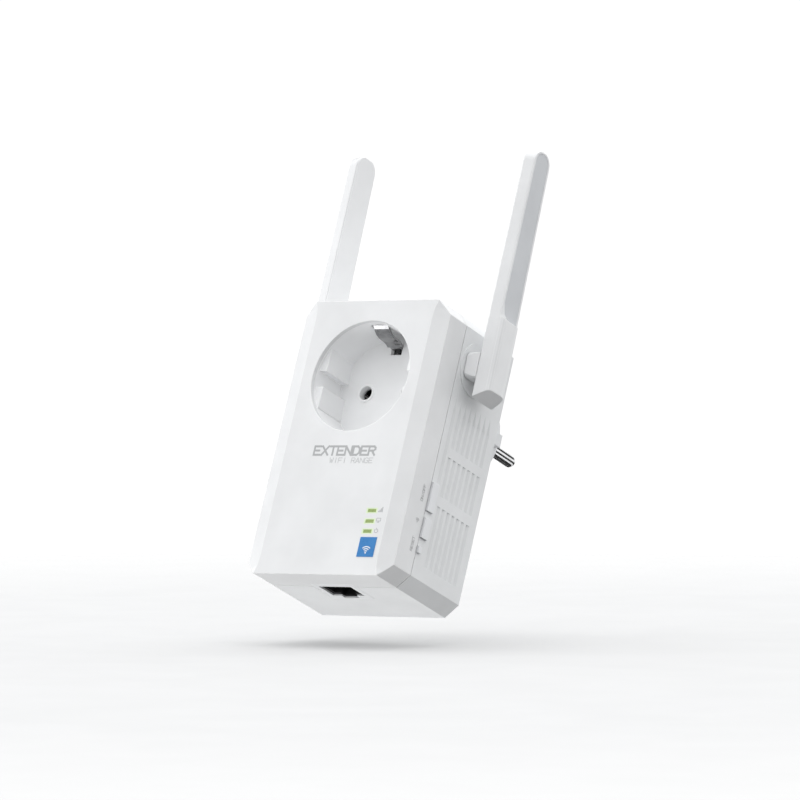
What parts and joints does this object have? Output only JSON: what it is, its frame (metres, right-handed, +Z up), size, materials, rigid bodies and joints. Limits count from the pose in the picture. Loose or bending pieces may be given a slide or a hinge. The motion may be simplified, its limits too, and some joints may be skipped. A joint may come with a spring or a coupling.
{
  "type": "wifi range extender",
  "caption": "Plug-in wifi range extender: a white upright housing with a pass-through mains socket in front, a mains plug behind, swivelling side antennas and a network port below.",
  "frame": {"origin": "centre of the plug's flat front face, between the two mains pins", "axes": "+Y along the mains pins into the wall socket, +Z up along the antennas, +X to the right seen from the front"},
  "size_m": [0.0888, 0.0904, 0.1757],
  "materials": {
    "shell_white": "fine satin moulded plastic",
    "rear_white": "fine satin moulded plastic",
    "socket_white": "satin moulded plastic",
    "plug_white": "satin moulded plastic",
    "antenna_white": "satin moulded plastic",
    "antenna_panel": "satin moulded plastic",
    "port_white": "satin moulded plastic",
    "button_white": "satin moulded plastic",
    "spring_steel": "nickel plated",
    "pin_nickel": "nickel plated",
    "contact_brass": "stamped",
    "gold_contact": "gold flashed",
    "board_green": "solder resist",
    "ferrite": "sintered",
    "winding_tape": "polyester tape",
    "can_blue": "shrink sleeve",
    "can_dark": "shrink sleeve",
    "fuse_tan": "ceramic with plated caps",
    "varistor_blue": "dipped epoxy",
    "choke_brown": "enamelled wire on a ferrite bobbin",
    "package_black": "moulded epoxy",
    "jack_black": "glass filled nylon",
    "header_ivory": "nylon",
    "shield_tin": "tinned steel",
    "screw_steel": "zinc plated",
    "clip_steel": "spring steel",
    "washer_dark": "friction washer",
    "coax_black": "cable jacket",
    "led_green": "clear epoxy",
    "light_guide": "clear acrylic",
    "badge_blue": "printed",
    "label_grey": "blank printed label"
  },
  "bodies": {
    "housing": {"front_shell": "shell_white", "rear_shell": "rear_white", "socket_well": "socket_white", "earth_strap": "spring_steel", "live_contact": "pin_nickel", "neutral_contact": "pin_nickel", "plug_body": "plug_white", "live_pin": "pin_nickel", "neutral_pin": "pin_nickel", "plug_earth_contacts": "spring_steel", "earth_receptacle": "contact_brass", "power_board": "board_green", "transformer_core": "ferrite", "transformer_winding": "winding_tape", "input_capacitors": "can_blue", "output_capacitors": "can_dark", "mains_fuse": "fuse_tan", "surge_varistor": "varistor_blue", "mains_choke": "choke_brown", "rectifier": "package_black", "board_link": "header_ivory", "board_screws": "screw_steel", "main_board": "board_green", "rf_shield": "shield_tin", "wifi_chip": "package_black", "memory_chip": "package_black", "lan_magnetics": "package_black", "ethernet_jack": "jack_black", "jack_contacts": "gold_contact", "port_bezel": "port_white", "status_leds": "led_green", "signal_light_guide": "light_guide", "lan_light_guide": "light_guide", "power_light_guide": "light_guide", "power_switch": "package_black", "pairing_switch": "package_black", "reset_switch": "package_black", "left_hub_washer": "washer_dark", "left_coax": "coax_black", "right_hub_washer": "washer_dark", "right_coax": "coax_black", "case_screws": "screw_steel", "front_badge": "badge_blue", "rating_label": "label_grey"},
    "left_antenna": {"left_antenna": "antenna_white", "left_antenna_panel": "antenna_panel", "left_radiator": "contact_brass", "left_hub": "antenna_white", "left_hub_clip": "clip_steel", "left_coax_tail": "coax_black"},
    "right_antenna": {"right_antenna": "antenna_white", "right_antenna_panel": "antenna_panel", "right_radiator": "contact_brass", "right_hub": "antenna_white", "right_hub_clip": "clip_steel", "right_coax_tail": "coax_black"},
    "power_button": {"power_button": "button_white"},
    "pairing_button": {"pairing_button": "button_white"},
    "reset_button": {"reset_button": "button_white"}
  },
  "joints": [
    {"name": "left_antenna_swivel", "type": "hinge", "parent": "housing", "child": "left_antenna", "pos_m": [-0.036, -0.0462, 0.0114], "axis": [1, 0, 0], "range_deg": [-91, 89]},
    {"name": "right_antenna_swivel", "type": "hinge", "parent": "housing", "child": "right_antenna", "pos_m": [0.036, -0.0462, 0.0114], "axis": [1, 0, 0], "range_deg": [-91, 89]},
    {"name": "power_button_press", "type": "slide", "parent": "housing", "child": "power_button", "axis": [-1, 0, 0], "range_m": [0, 0.0012], "stiffness_N_per_m": 400, "springref_m": -0.002},
    {"name": "pairing_button_press", "type": "slide", "parent": "housing", "child": "pairing_button", "axis": [-1, 0, 0], "range_m": [0, 0.0005], "stiffness_N_per_m": 600, "springref_m": -0.0015},
    {"name": "reset_button_press", "type": "slide", "parent": "housing", "child": "reset_button", "axis": [-1, 0, 0], "range_m": [0, 0.0005], "stiffness_N_per_m": 600, "springref_m": -0.0015}
  ]
}
